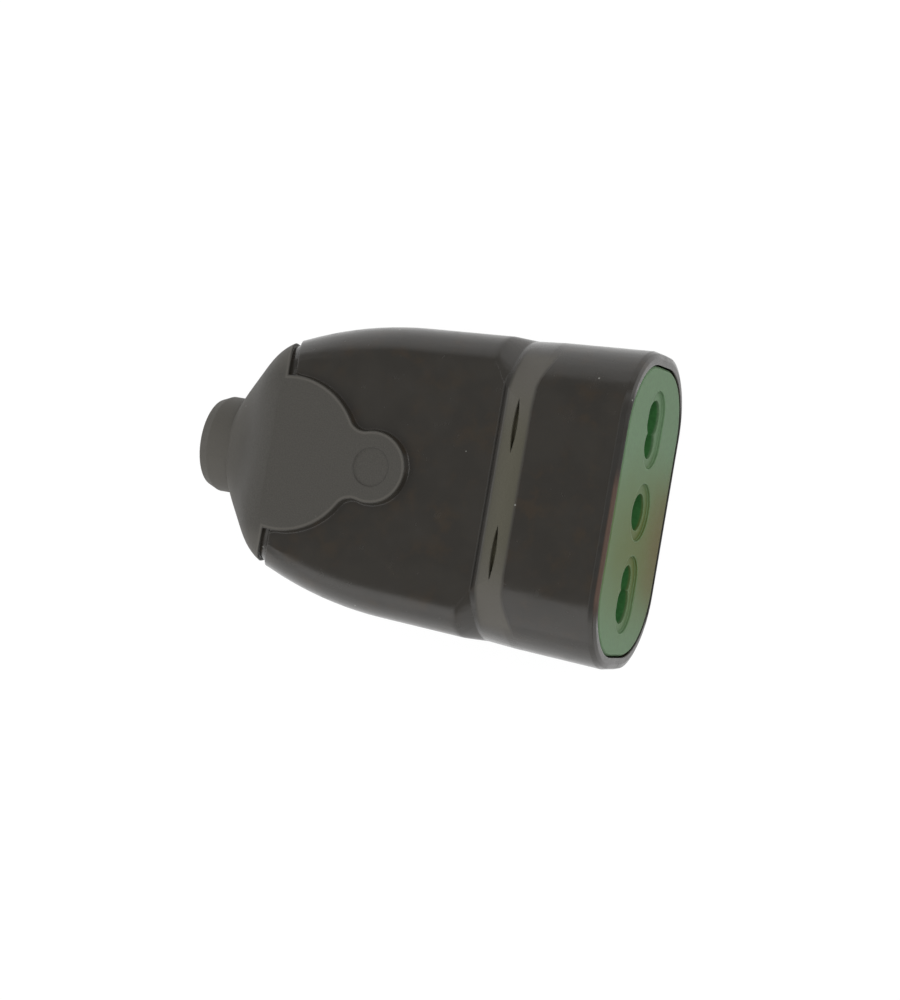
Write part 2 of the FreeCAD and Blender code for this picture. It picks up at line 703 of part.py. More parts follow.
def earth_contact():
    """The brass earth contact, slit into an upper and a lower jaw."""
    sleeve = contact_tail(0).fuse(rod(WIDE_BORE + SLEEVE_WALL, SLEEVE_FRONT, SLEEVE_REAR)).removeSplitter()
    return sleeve.cut([
        rod(WIDE_BORE, SLEEVE_FRONT - PAST, SLEEVE_REAR + TINY),
        box(SLEEVE_FRONT - PAST, JAW_END, -WIDE_PIN, WIDE_PIN, -JAW_SLOT / 2, JAW_SLOT / 2),
    ])


def spring_reach():
    """Front and rear depth of the spring bands."""
    front = SLEEVE_FRONT + SPRING_OFFSET
    return front, front + SPRING_LENGTH


def line_spring(side):
    """A bent steel band round both sleeves of a line contact, open at its inner end."""
    front, rear = spring_reach()
    inner = SLEEVE_WALL + SPRING_CLEARANCE
    band = line_wrap(front, rear, side, inner + SPRING_THICKNESS)
    y_low, y_high = sorted((0.0, side * NARROW_Y))
    return band.cut([
        line_wrap(front - PAST, rear + PAST, side, inner),
        box(front - PAST, rear + PAST, y_low, y_high, -SPRING_SLOT / 2, SPRING_SLOT / 2),
    ])


def earth_spring():
    """A bent steel band round the earth sleeve, open at its underside."""
    front, rear = spring_reach()
    inner = SLEEVE_WALL + SPRING_CLEARANCE
    return earth_wrap(front, rear, inner + SPRING_THICKNESS).cut([
        earth_wrap(front - PAST, rear + PAST, inner),
        box(front - PAST, rear + PAST, -SPRING_SLOT / 2, SPRING_SLOT / 2, -WIDE_PIN, 0),
    ])


def terminal_cage(y):
    """A wire cage round a contact's tail, tapped for its screw."""
    cage = box(CAGE_FRONT, CAGE_REAR, y - CAGE_WIDTH / 2, y + CAGE_WIDTH / 2, CAGE_FLOOR, CAGE_TOP)
    inner = CAGE_WIDTH / 2 - CAGE_WALL
    return cage.cut([
        box(CAGE_FRONT - PAST, CAGE_REAR + PAST, y - inner, y + inner, TAIL_BOTTOM, CAGE_CEILING),
        post(TERMINAL_SCREW / 2 + SCREW_CLEARANCE, CAGE_CEILING - TINY, CAGE_TOP + PAST, CAGE_MIDDLE, y),
    ])


def upright_slot(depth, y, head, top):
    """What a driver's slot takes out of the top of an upright screw."""
    front = depth - SCREW_SLOT / 2
    return box(front, front + SCREW_SLOT, y - head, y + head, top - SCREW_SLOT_SINK, top + PAST)


def terminal_screw(y):
    """A headless slotted terminal screw, standing open above the tail."""
    top = CAGE_TOP + TERMINAL_SCREW_LIFT
    shank = post(TERMINAL_SCREW / 2, CAGE_CEILING - TERMINAL_BITE, top, CAGE_MIDDLE, y)
    return shank.cut(upright_slot(CAGE_MIDDLE, y, TERMINAL_SCREW, top))


def insert_screw(side):
    """A slotted screw through the base into the face insert."""
    y = side * INSERT_SCREW_SPACING / 2
    head_end = BASE_REAR + INSERT_HEAD_HEIGHT
    shank = rod(INSERT_SCREW / 2, BASE_DEPTH - INSERT_SCREW_REACH, BASE_REAR + TINY, y, INSERT_SCREW_HEIGHT)
    head = rod(INSERT_HEAD / 2, BASE_REAR, head_end, y, INSERT_SCREW_HEIGHT)
    slot_low = INSERT_SCREW_HEIGHT - SCREW_SLOT / 2
    slot = box(head_end - SCREW_SLOT_SINK, head_end + PAST, y - INSERT_HEAD, y + INSERT_HEAD,
               slot_low, slot_low + SCREW_SLOT)
    return shank.fuse(head).cut(slot)


def cord_clamp_saddle():
    """The arched bridge of the cord clamp, its ears seated on the ledge's lands."""
    low = -LAND_TOP
    half = LEDGE_WIDTH / 2
    ears = box(SADDLE_FRONT, SADDLE_REAR, -half, half, low, low + EAR_THICKNESS)
    arch = rod(CORD_DIAMETER / 2 + SADDLE_ARCH_WALL, SADDLE_FRONT, SADDLE_REAR)
    arch = arch.common(box(SADDLE_FRONT, SADDLE_REAR, -half, half, low, half))
    cuts = [rod(CORD_DIAMETER / 2, SADDLE_FRONT - PAST, SADDLE_REAR + PAST)]
    screw_hole = CLAMP_SCREW / 2 + SCREW_CLEARANCE
    for y in (-CLAMP_SCREW_SPACING / 2, CLAMP_SCREW_SPACING / 2):
        cuts.append(post(screw_hole, low - PAST, low + EAR_THICKNESS + PAST, SADDLE_MIDDLE, y))
    return ears.fuse(arch).removeSplitter().cut(cuts)


def clamp_screw(side):
    """A slotted screw through the saddle's ear into the ledge."""
    y = side * CLAMP_SCREW_SPACING / 2
    seat = -LAND_TOP + EAR_THICKNESS
    head_top = seat + CLAMP_HEAD_HEIGHT
    shank = post(CLAMP_SCREW / 2, -LAND_TOP - CLAMP_SCREW_REACH, seat + TINY, SADDLE_MIDDLE, y)
    head = post(CLAMP_HEAD / 2, seat, head_top, SADDLE_MIDDLE, y)
    return shank.fuse(head).cut(upright_slot(SADDLE_MIDDLE, y, CLAMP_HEAD, head_top))


def pieces():
    """Every piece by its name."""
    named = {
        "rubber_housing": rubber_housing(),
        "face_insert": face_insert(),
        "terminal_base": terminal_base(),
        "earth_contact": earth_contact(),
        "earth_spring": earth_spring(),
        "earth_terminal": terminal_cage(0),
        "earth_screw": terminal_screw(0),
        "cord_clamp_saddle": cord_clamp_saddle(),
    }
    for label, side in (("left", 1), ("right", -1)):
        named["line_contact_" + label] = line_contact(side)
        named["line_spring_" + label] = line_spring(side)
        named["line_terminal_" + label] = terminal_cage(side * LINE_Y)
        named["line_screw_" + label] = terminal_screw(side * LINE_Y)
        named["insert_screw_" + label] = insert_screw(side)
        named["clamp_screw_" + label] = clamp_screw(side)
    return named


os.makedirs("parts", exist_ok=True)
for name, shape in pieces().items():
    shape.exportStep("parts/" + name + ".step")
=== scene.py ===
import math
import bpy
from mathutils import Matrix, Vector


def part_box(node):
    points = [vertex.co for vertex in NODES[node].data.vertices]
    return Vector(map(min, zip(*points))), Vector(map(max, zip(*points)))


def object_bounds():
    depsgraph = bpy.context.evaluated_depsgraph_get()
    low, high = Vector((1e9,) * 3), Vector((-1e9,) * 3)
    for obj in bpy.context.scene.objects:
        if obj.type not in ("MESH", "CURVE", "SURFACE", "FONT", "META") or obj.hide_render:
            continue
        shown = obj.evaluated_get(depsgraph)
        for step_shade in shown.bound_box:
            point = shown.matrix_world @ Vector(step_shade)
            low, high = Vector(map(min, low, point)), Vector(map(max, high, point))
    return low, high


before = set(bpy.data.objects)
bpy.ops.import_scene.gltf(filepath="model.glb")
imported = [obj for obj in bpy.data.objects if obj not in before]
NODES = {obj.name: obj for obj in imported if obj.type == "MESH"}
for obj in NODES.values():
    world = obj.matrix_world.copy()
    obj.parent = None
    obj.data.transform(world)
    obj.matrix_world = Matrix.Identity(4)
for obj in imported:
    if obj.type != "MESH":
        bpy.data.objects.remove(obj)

from types import SimpleNamespace

import bpy
from mathutils import Matrix, Vector

bl_info = {
    "name": "Straight cable socket",
    "version": (1, 0, 0),
    "blender": (4, 5, 0),
    "location": "View3D > Sidebar > Cable Socket",
    "description": "Finishes a rubber cable socket with a draw-out insert, in a plain studio",
    "category": "Object",
}

CAD_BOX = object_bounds()
HOUSING_LOW, HOUSING_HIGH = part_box("rubber_housing")
MM = 0.001

# The housing's places in millimetres, as the shaders count

MOUTH = HOUSING_HIGH.x / MM
CORD_END = HOUSING_LOW.x / MM
TOP = HOUSING_HIGH.z / MM
LENGTH = (HOUSING_HIGH.x - HOUSING_LOW.x) / MM
HALF_THICKNESS = (HOUSING_HIGH.z - HOUSING_LOW.z) / 2 / MM
AXIS_HEIGHT = HOUSING_LOW.z / MM + HALF_THICKNESS


# Shader sums

# The two inputs and the output that a Mix node keeps for each kind of value
MIX_SOCKETS = {"VECTOR": (4, 5, 1), "RGBA": (6, 7, 2)}
BEVEL_SAMPLES = 6
# How far an eased normal agrees with the face's own, on plain faces and at edges
EDGE_LEAN = (0.99, 0.88)
LOTTERY_STEP = 0.01
WHITE = (1.0, 1.0, 1.0, 1.0)


class Wire:
    """An output socket in a node tree; sums written on it add Math nodes."""

    def __init__(self, tree, socket=None):
        self.tree = tree
        self.socket = socket

    def node(self, kind, settings=None, inputs=None, output=0):
        """Adds any node: its settings first, then the values or links of its sockets."""
        made = self.tree.nodes.new(kind)
        for name, value in (settings or {}).items():
            setattr(made, name, value)
        for name, value in (inputs or {}).items():
            if isinstance(value, Wire):
                self.tree.links.new(value.socket, made.inputs[name])
            else:
                made.inputs[name].default_value = value
        return Wire(self.tree, made.outputs[output] if made.outputs else None)

    def maths(self, operation, *others):
        """A Math node with this as its first value."""
        sockets = dict(enumerate((self, *others)))
        return self.node("ShaderNodeMath", {"operation": operation}, sockets)

    def __add__(self, other):
        return self.maths("ADD", other)

    def __radd__(self, other):
        return self + other

    def __sub__(self, other):
        return self.maths("SUBTRACT", other)

    def __rsub__(self, other):
        return self * -1.0 + other

    def __mul__(self, other):
        return self.maths("MULTIPLY", other)

    def __rmul__(self, other):
        return self * other

    def __truediv__(self, other):
        return self.maths("DIVIDE", other)

    def __pow__(self, other):
        return self.maths("POWER", other)

    def __abs__(self):
        return self.maths("ABSOLUTE")

    def at_least(self, other):
        """The larger of this and another value."""
        return self.maths("MAXIMUM", other)

    def at_most(self, other):
        """The smaller of this and another value."""
        return self.maths("MINIMUM", other)

    def fade(self, start, end):
        """0 before start and 1 after end, easing between them; end may be below start."""
        sockets = {"Value": self, "From Min": start, "From Max": end}
        return self.node("ShaderNodeMapRange", {"interpolation_type": "SMOOTHSTEP"}, sockets)

    def between(self, kind, first, second):
        """A Mix node: the first value where this is 0 and the second where it is 1."""
        start, end, result = MIX_SOCKETS[kind]
        sockets = {"Factor": self, start: first, end: second}
        return self.node("ShaderNodeMix", {"data_type": kind}, sockets, result)

    def blend(self, first, second):
        """The first vector where this is 0 and the second where it is 1."""
        return self.between("VECTOR", first, second)

    def mix(self, first, second):
        """The first colour where this is 0 and the second where it is 1."""
        return self.between("RGBA", rgba(first), rgba(second))


def rgba(colour):
    """A colour as a socket wants it, with its alpha."""
    return colour if isinstance(colour, Wire) else (*colour[:3], 1.0)


def shade(colour, factor):
    """A colour made lighter or darker."""
    return [value * factor for value in colour]


def tint(colour, mask, base, strength):
    """Lays a shade of a base colour over a colour; strength is how much shows and how light."""
    share, factor = strength
    return (mask * share).mix(colour, shade(base, factor))


def start_material(name):
    """An empty node material and a wire to build it with."""
    material = bpy.data.materials.new(name)
    material.use_nodes = True
    material.node_tree.nodes.clear()
    return material, Wire(material.node_tree)


def finish_material(wire, sockets):
    """Ends a material in one Principled shader."""
    shader = wire.node("ShaderNodeBsdfPrincipled", None, sockets)
    wire.node("ShaderNodeOutputMaterial", None, {"Surface": shader})


def place_in_object(wire):
    """The place on the object in millimetres."""
    coordinates = wire.node("ShaderNodeTexCoord", output="Object")
    sockets = {0: coordinates, "Scale": 1 / MM}
    return wire.node("ShaderNodeVectorMath", {"operation": "SCALE"}, sockets)


def along_axis(wire, place, axis):
    """One coordinate of a place."""
    return wire.node("ShaderNodeSeparateXYZ", None, {0: place}, output=axis)


def noise(wire, place, scale, detail, roughness=0.55):
    """Soft noise from 0 to 1, with so many lumps to the millimetre."""
    sockets = {"Vector": place, "Scale": scale, "Detail": detail, "Roughness": roughness}
    return wire.node("ShaderNodeTexNoise", None, sockets)


def stretched(wire, place, along):
    """The place with each axis scaled, for grain that runs one way."""
    return wire.node("ShaderNodeVectorMath", {"operation": "MULTIPLY"}, {0: place, 1: along})


def soft_edges(wire, radius):
    """The surface's normal with its edges eased over a radius in millimetres."""
    return wire.node("ShaderNodeBevel", {"samples": BEVEL_SAMPLES}, {"Radius": radius * MM})


def edge_mask(wire, eased):
    """0 on plain faces and up to 1 along edges, where the eased normal leans off the face's own."""
    own = wire.node("ShaderNodeNewGeometry", output="Normal")
    settings = {"operation": "DOT_PRODUCT"}
    agreement = wire.node("ShaderNodeVectorMath", settings, {0: eased, 1: own}, output="Value")
    return agreement.fade(*EDGE_LEAN)


def bump(wire, height, distance, normal):
    """A normal that stands up and down with a height, in millimetres at full height."""
    sockets = {"Height": height, "Distance": distance * MM, "Normal": normal}
    return wire.node("ShaderNodeBump", None, sockets)


def specks(wire, place, spacing, size, share):
    """1 on small round specks scattered over the surface, and 0 between them."""
    sockets = {"Vector": place, "Scale": 1 / spacing}
    distance = wire.node("ShaderNodeTexVoronoi", None, sockets, output="Distance")
    lottery = wire.node("ShaderNodeTexVoronoi", None, sockets, output="Color")
    drawn = wire.node("ShaderNodeSeparateColor", None, {0: lottery})
    chosen = drawn.fade(1 - share, 1 - share + LOTTERY_STEP)
    return distance.fade(size / spacing, size / spacing / 2) * chosen


def dress(names, material):
    """Gives CAD nodes their finish."""
    for name in names:
        piece = NODES[name]
        piece.data.materials.clear()
        piece.data.materials.append(material)


# Sizes and colours

class RubberLook(bpy.types.PropertyGroup):
    """Finish of the rubber housing."""
    gloss: bpy.props.FloatVectorProperty(
        name="Glossy rubber", description="Colour of the smooth faces", subtype="COLOR",
        size=3, min=0, max=1, default=(0.0285, 0.0255, 0.0212))
    matte: bpy.props.FloatVectorProperty(
        name="Matte rubber", description="Colour of the grained areas", subtype="COLOR",
        size=3, min=0, max=1, default=(0.058, 0.054, 0.046))
    # The waist's colour: its own yellower tone, made lighter than the grain as painted light on the
    # band
    waist: bpy.props.FloatVectorProperty(
        name="Waist", description="Colour of the dusty waist", subtype="COLOR",
        size=3, min=0, max=1, default=(0.075, 0.070, 0.046))
    dust: bpy.props.FloatVectorProperty(
        name="Dust", description="Colour of the specks of dust", subtype="COLOR",
        size=3, min=0, max=1, default=(0.26, 0.26, 0.24))
    stain: bpy.props.FloatVectorProperty(
        name="Stain", description="Colour of the brown bloom on the rubber", subtype="COLOR",
        size=3, min=0, max=1, default=(0.038, 0.029, 0.020))
    brown_edge_line: bpy.props.FloatVectorProperty(
        name="Browned rim", description="Colour of the browned line along the mouth's upper edge",
        subtype="COLOR", size=3, min=0, max=1, default=(0.080, 0.046, 0.032))
    gloss_roughness: bpy.props.FloatProperty(
        name="Gloss roughness", description="Roughness of the smooth faces",
        min=0, max=1, default=0.2)
    matte_roughness: bpy.props.FloatProperty(
        name="Matte roughness", description="Roughness of the grained areas",
        min=0, max=1, default=0.62)
    tongue_reach: bpy.props.FloatProperty(
        name="Tongue reach", description="From the cord end to the tongue's centre",
        unit="LENGTH", default=30.7 * MM)
    tongue_radius: bpy.props.FloatProperty(
        name="Tongue radius", description="Radius of the pad's tongue",
        unit="LENGTH", default=5.0 * MM)
    pad_reach: bpy.props.FloatProperty(
        name="Pad reach", description="From the cord end to the pad's centre",
        unit="LENGTH", default=17.4 * MM)
    pad_radius: bpy.props.FloatProperty(
        name="Pad radius", description="Radius of the round pad",
        unit="LENGTH", default=10.9 * MM)
    valley_radius: bpy.props.FloatProperty(
        name="Valley radius", description="Radius of the hollow between tongue and pad",
        unit="LENGTH", default=2.5 * MM)
    flank_reach: bpy.props.FloatProperty(
        name="Flank reach",
        description="From the cord end to the grained collar's edge on the broad faces",
        unit="LENGTH", default=16.0 * MM)
    flank_sweep: bpy.props.FloatProperty(
        name="Flank sweep", description="How far the collar's edge runs back at half height",
        unit="LENGTH", default=3.6 * MM)
    waist_depth: bpy.props.FloatProperty(
        name="Waist depth", description="From the mouth to the waist's near edge",
        unit="LENGTH", default=13.5 * MM)
    waist_rear: bpy.props.FloatProperty(
        name="Waist rear", description="From the mouth to the waist's far edge",
        unit="LENGTH", default=17.5 * MM)
    waist_flare: bpy.props.FloatProperty(
        name="Waist flare", description="How far the waist's grain widens towards the sides",
        unit="LENGTH", default=1.3 * MM)


class MouldingLook(bpy.types.PropertyGroup):
    """Finish of the plastic mouldings."""
    green: bpy.props.FloatVectorProperty(
        name="Green", description="Colour of the face insert", subtype="COLOR",
        size=3, min=0, max=1, default=(0.122, 0.205, 0.112))
    faded: bpy.props.FloatVectorProperty(
        name="Faded green", description="Colour of the face where it has faded", subtype="COLOR",
        size=3, min=0, max=1, default=(0.100, 0.130, 0.036))
    browned: bpy.props.FloatVectorProperty(
        name="Browned green", description="Colour of the faded face along its lower edge",
        subtype="COLOR", size=3, min=0, max=1, default=(0.108, 0.082, 0.018))
    fresh: bpy.props.FloatVectorProperty(
        name="Fresh green", description="Colour in the pin openings and behind the face",
        subtype="COLOR", size=3, min=0, max=1, default=(0.040, 0.146, 0.042))
    ivory: bpy.props.FloatVectorProperty(
        name="Ivory", description="Colour of the terminal base and the clamp saddle",
        subtype="COLOR", size=3, min=0, max=1, default=(0.62, 0.57, 0.46))
    roughness: bpy.props.FloatProperty(
        name="Roughness", description="Roughness of the mouldings", min=0, max=1, default=0.42)


class MetalLook(bpy.types.PropertyGroup):
    """Finish of the metal pieces."""
    brass: bpy.props.FloatVectorProperty(
        name="Brass", description="Colour of the contacts", subtype="COLOR",
        size=3, min=0, max=1, default=(0.72, 0.50, 0.20))
    plated: bpy.props.FloatVectorProperty(
        name="Plated brass", description="Colour of the terminal cages", subtype="COLOR",
        size=3, min=0, max=1, default=(0.66, 0.60, 0.46))
    spring: bpy.props.FloatVectorProperty(
        name="Spring steel", description="Colour of the spring bands", subtype="COLOR",
        size=3, min=0, max=1, default=(0.30, 0.31, 0.35))
    zinc: bpy.props.FloatVectorProperty(
        name="Zinc", description="Colour of the screws", subtype="COLOR",
        size=3, min=0, max=1, default=(0.62, 0.62, 0.60))
    thread: bpy.props.FloatProperty(
        name="Thread pitch", description="Distance between the turns of a screw's thread",
        unit="LENGTH", default=0.6 * MM)


class StageLook(bpy.types.PropertyGroup):
    """Camera, light and floor."""
    camera_place: bpy.props.FloatVectorProperty(
        name="Camera", description="Where the camera stands",
        subtype="TRANSLATION", unit="LENGTH",
        size=3, default=(0.131804, -0.002003, 0.336719))
    camera_aim: bpy.props.FloatVectorProperty(
        name="Aim", description="The point that the camera looks at",
        subtype="TRANSLATION", unit="LENGTH",
        size=3, default=(0.004937, -0.002677, 0.013347))
    camera_roll: bpy.props.FloatProperty(
        name="Roll", description="How far the camera is turned about its own axis",
        subtype="ANGLE", default=math.radians(-80.671))
    lens: bpy.props.FloatProperty(
        name="Lens", description="Focal length on a 36 mm sensor", unit="CAMERA", default=88.156)
    floor: bpy.props.FloatVectorProperty(
        name="Floor", description="Colour of the floor", subtype="COLOR",
        size=3, min=0, max=1, default=(0.86, 0.86, 0.86))
    floor_size: bpy.props.FloatProperty(
        name="Floor size", description="Side of the floor", unit="LENGTH", default=8.0)
    room: bpy.props.FloatProperty(
        name="Room light", description="Brightness of the dim room", min=0, default=0.30)
    key: bpy.props.FloatProperty(
        name="Cord side light", description="Brightness of the wall of light on the cord side",
        min=0, default=1.3)
    side: bpy.props.FloatProperty(
        name="Near side light", description="Brightness of the wall of light on the near side",
        min=0, default=1.05)
    far: bpy.props.FloatProperty(
        name="Far side light", description="Brightness of the dim light on the far side",
        min=0, default=0.6)
    front: bpy.props.FloatProperty(
        name="Front light", description="Brightness of the soft light on the mouth side",
        min=0, default=3.2)
    white_share: bpy.props.FloatProperty(
        name="White share", description="How much of the floor shows as plain white",
        min=0, max=1, default=0.9)


class SocketLook(bpy.types.PropertyGroup):
    """All that a user would change on the cable socket."""
    rubber: bpy.props.PointerProperty(type=RubberLook)
    moulding: bpy.props.PointerProperty(type=MouldingLook)
    metal: bpy.props.PointerProperty(type=MetalLook)
    stage: bpy.props.PointerProperty(type=StageLook)


# Rubber

# Fades over the housing in millimetres, from where each one starts to where it is full
GRAIN_BORDER = (0.15, -0.15)
PAD_HIGHLIGHT_START = (-0.05, -0.15)
PAD_HIGHLIGHT_END = (-0.5, -0.3)
SIDES_OFFSET = (2.5, 3.5)
SIDES_DEPTH = (19.5, 20.5)
MIDDLE_WIDTH = (16.5, 13.5)
RIM_DEPTH = (1.1, 0.8)
BROWN_LINE_DEPTH = (0.45, 0.2)
BROWN_LINE_WIDTH = (11.0, 7.0)
BROWN_LINE_HEIGHT = (24.0, 24.5)
NECK_REACH = (12.0, 4.0)
WINGS_WIDTH = (10.5, 13.0)
WINGS_DEPTH = (44.0, 48.0)
WAIST_BORDER = (0.4, -0.4)
WAIST_ENDS = (20.8, 18.0)
FLARE_WIDTH = (14.0, 20.0)
SKIN_RADIUS = (9.2, 9.9)
CORNER_DEPTH = (18.5, 18.2)
CROWN_WIDTH = (2.2, 0.2)
PALE_WIDTH = (6.0, 16.0)
REAR_SHADE_DEPTH = (17.0, 17.9)
SLIT_DROP = (0.35, 0.55)
SLIT_WIDTH = (12.5, 12.2)

# Single places in millimetres, and how far the waist falls to each millimetre behind its edge
BROWN_LINE_CENTRE = -5.0
CORNER_STEP = 0.2
CAVITY_BESIDE = 9.5
CAVITY_ABOVE = 1.3
WAIST_SLOPE = 0.27

# How much of a shade shows, and how light it is beside its base colour
NECK_LIGHT_TINT = (0.9, 1.5)
WINGS_LIGHT_TINT = (0.9, 1.4)
CROWN_LIGHT_TINT = (0.35, 1.35)
PALE_ENDS_LIGHT_TINT = (1.0, 1.8)
REAR_SHADE_TINT = (1.0, 0.5)
SLIT_LIGHT_TINT = (0.9, 2.6)
PAD_HIGHLIGHT_TINT = (0.7, 1.7)
WAIST_SHARE = 0.9
STEP_SHADE_SHARE = 0.35
RIM_SHADE_SHARE = 0.5
RIM_SHADE = 0.3
CLOUD_SHADE = 1.18
GRAIN_SHADES = (0.86, 1.12)

# Noise as lumps to the millimetre, detail and roughness, and the range of it that shows
CLOUD_NOISE = (0.16, 2.0)
CLOUD_RANGE = (0.35, 0.7)
BLOOM_NOISE = (0.3, 4.0)
BLOOM_RANGE = (0.45, 0.7)
GRAIN_NOISE = (5.0, 4.0, 0.65)
GRAIN_RANGE = (0.3, 0.7)
SMUDGE_NOISE = (0.5, 4.0)
SMUDGE_RANGE = (0.45, 0.8)
RIPPLE_NOISE = (0.35, 2.0)
RIPPLE_STRETCH = (0.25, 1.0, 1.0)

# Specks of dust as spacing and size in millimetres, and the share of places that have one
DUST_SPECKS = (2.8, 0.17, 0.3)

# Eased edges and bumps in millimetres, and what smudges and the rim add to the roughness
PLAIN_EASE = 0.3
SIDES_EASE = 1.6
RIPPLE_HEIGHT = 0.05
GRAIN_HEIGHT = 0.035
SMUDGE_ROUGHNESS = 0.1
RIM_ROUGHNESS = 0.6


def valley_centre(look, tongue, pad):
    """Plan centre of the hollow that touches both the tongue and the pad."""
    to_tongue = (look.tongue_radius + look.valley_radius) / MM
    to_pad = (look.pad_radius + look.valley_radius) / MM
    apart = pad - tongue
    along = (to_tongue ** 2 - to_pad ** 2 + apart ** 2) / 2 / apart
    return tongue + along, math.sqrt(to_tongue ** 2 - along ** 2)


def from_centre(first, second):
    """Distance from where two wires are both 0."""
    return (first ** 2 + second ** 2) ** 0.5


def grained_area(look, x, across, z):
    """How far a place is outside the grained pad, collar and neck; below 0 on them."""
    along = x - CORD_END
    tongue = look.tongue_reach / MM
    pad = look.pad_reach / MM
    in_tongue = from_centre(along - tongue, across) - look.tongue_radius / MM
    in_pad = from_centre(along - pad, across) - look.pad_radius / MM
    valley_x, valley_y = valley_centre(look, tongue, pad)
    in_valley = look.valley_radius / MM - from_centre(along - valley_x, across - valley_y)
    for centre in (tongue, pad):
        run, rise = valley_x - centre, valley_y
        length = math.copysign(math.hypot(run, rise), run)
        in_valley = in_valley.at_least((across * run - (along - centre) * rise) / length)
    height = (z - AXIS_HEIGHT) / HALF_THICKNESS
    sweep = look.flank_sweep / MM
    behind_flank = along - (look.flank_reach / MM - sweep + sweep * height ** 2)
    return in_tongue.at_most(in_pad).at_most(in_valley).at_most(behind_flank)


def waist_area(look, depth, across):
    """1 on the grained waist, which widens towards the sides, and 0 before and behind it."""
    flare = across.fade(*FLARE_WIDTH) * (look.waist_flare / MM)
    before = look.waist_depth / MM - flare - depth
    behind = depth - look.waist_rear / MM
    return before.at_least(behind).fade(*WAIST_BORDER)


def outer_skin(across, z):
    """1 on the housing's outside at the waist and 0 on the walls of its cavity."""
    beside = (across - CAVITY_BESIDE).at_least(0.0)
    above = (abs(z - AXIS_HEIGHT) - CAVITY_ABOVE).at_least(0.0)
    return from_centre(beside, above).fade(*SKIN_RADIUS)


def rubber_areas(look, x, y, z):
    """Masks of the rubber's finishes and of its painted light and shade: 1 where each one shows and
    0 elsewhere.
    """
    depth = MOUTH - x
    across = abs(y)
    middle = across.fade(*MIDDLE_WIDTH)
    outside = grained_area(look, x, across, z)
    waist = waist_area(look, depth, across) * across.fade(*WAIST_ENDS) * outer_skin(across, z)
    waist_near, waist_far = look.waist_depth / MM, look.waist_rear / MM
    drop = TOP - z - (depth - waist_near) * WAIST_SLOPE
    # Painted shade: a dark strip on the gloss just behind the waist, where the step throws shade
    step_shade = depth.fade(waist_far, waist_far + CORNER_STEP) * depth.fade(*CORNER_DEPTH)
    brown_line_width = abs(y - BROWN_LINE_CENTRE).fade(*BROWN_LINE_WIDTH)
    return SimpleNamespace(
        waist=waist,
        matte=outside.fade(*GRAIN_BORDER).at_least(waist),
        # Painted highlight: a thin lighter line just inside the pad's border
        pad_edge_highlight=outside.fade(*PAD_HIGHLIGHT_START) * outside.fade(*PAD_HIGHLIGHT_END),
        sides=outside.fade(*SIDES_OFFSET) * depth.fade(*SIDES_DEPTH),
        # Painted light: the grain lighter towards the cord end, on the neck
        neck=depth.fade(*(LENGTH - reach for reach in NECK_REACH)),
        # Painted light: the collar's grain lighter towards the sides
        wing_light=across.fade(*WINGS_WIDTH) * depth.fade(*WINGS_DEPTH),
        # Painted shade: the gloss darker on the mouth's rim, within the middle width
        rim=depth.fade(*RIM_DEPTH) * middle,
        # A lighter brown line along the mouth's upper edge
        brown_edge_line=depth.fade(*BROWN_LINE_DEPTH) * brown_line_width * z.fade(*BROWN_LINE_HEIGHT),
        step_shade=step_shade * middle,
        # Painted light: the waist lighter along its middle
        lit_crown=abs(depth - (waist_near + waist_far) / 2).fade(*CROWN_WIDTH),
        # Painted light: the waist lighter towards the sides
        pale=across.fade(*PALE_WIDTH),
        # Painted shade: the waist darker towards its rear edge
        rear_shade=depth.fade(*REAR_SHADE_DEPTH),
        # Painted light: lighter grain on the floors of the waist's slits, against their shade
        lit_slits=drop.fade(*SLIT_DROP) * waist * across.fade(*SLIT_WIDTH),
    )


def rubber_colour(look, wire, place, area, grain):
    """Colour of the gloss and of the grain, with stains and dust, and painted light and shade in
    places.
    """
    cloud = noise(wire, place, *CLOUD_NOISE).fade(*CLOUD_RANGE)
    bloom = noise(wire, place, *BLOOM_NOISE).fade(*BLOOM_RANGE)
    gloss = cloud.mix(bloom.mix(look.gloss, look.stain), shade(look.gloss, CLOUD_SHADE))
    # Painted shade: the gloss darkened on the strip behind the waist and on the mouth's rim
    painted_shade = (area.step_shade * STEP_SHADE_SHARE).at_least(area.rim * RIM_SHADE_SHARE)
    gloss = painted_shade.mix(gloss, shade(look.gloss, RIM_SHADE))

    # The waist's colour, with painted light at its crown and its ends and painted shade towards its
    # rear
    waist = tint(look.waist, area.lit_crown, look.waist, CROWN_LIGHT_TINT)
    waist = tint(waist, area.pale, look.matte, PALE_ENDS_LIGHT_TINT)
    waist = tint(waist, area.rear_shade, look.waist, REAR_SHADE_TINT)

    darker, lighter = (shade(look.matte, factor) for factor in GRAIN_SHADES)
    matte = grain.fade(*GRAIN_RANGE).mix(darker, lighter)
    # Painted light on the neck
    matte = tint(matte, area.neck, look.matte, NECK_LIGHT_TINT)
    # Painted light on the collar's wings
    matte = tint(matte, area.wing_light, look.matte, WINGS_LIGHT_TINT)
    # The waist's grain: its own yellower tone, lighter than the rest as painted light
    matte = (area.waist * WAIST_SHARE).mix(matte, waist)
    # Painted light in the slits
    matte = tint(matte, area.lit_slits, look.waist, SLIT_LIGHT_TINT)
    # Painted highlight: lighter grain along the pad's border
    matte = tint(matte, area.pad_edge_highlight, look.matte, PAD_HIGHLIGHT_TINT)

    colour = area.matte.mix(gloss, matte)
    colour = area.brown_edge_line.mix(colour, look.brown_edge_line)
    return specks(wire, place, *DUST_SPECKS).mix(colour, look.dust)


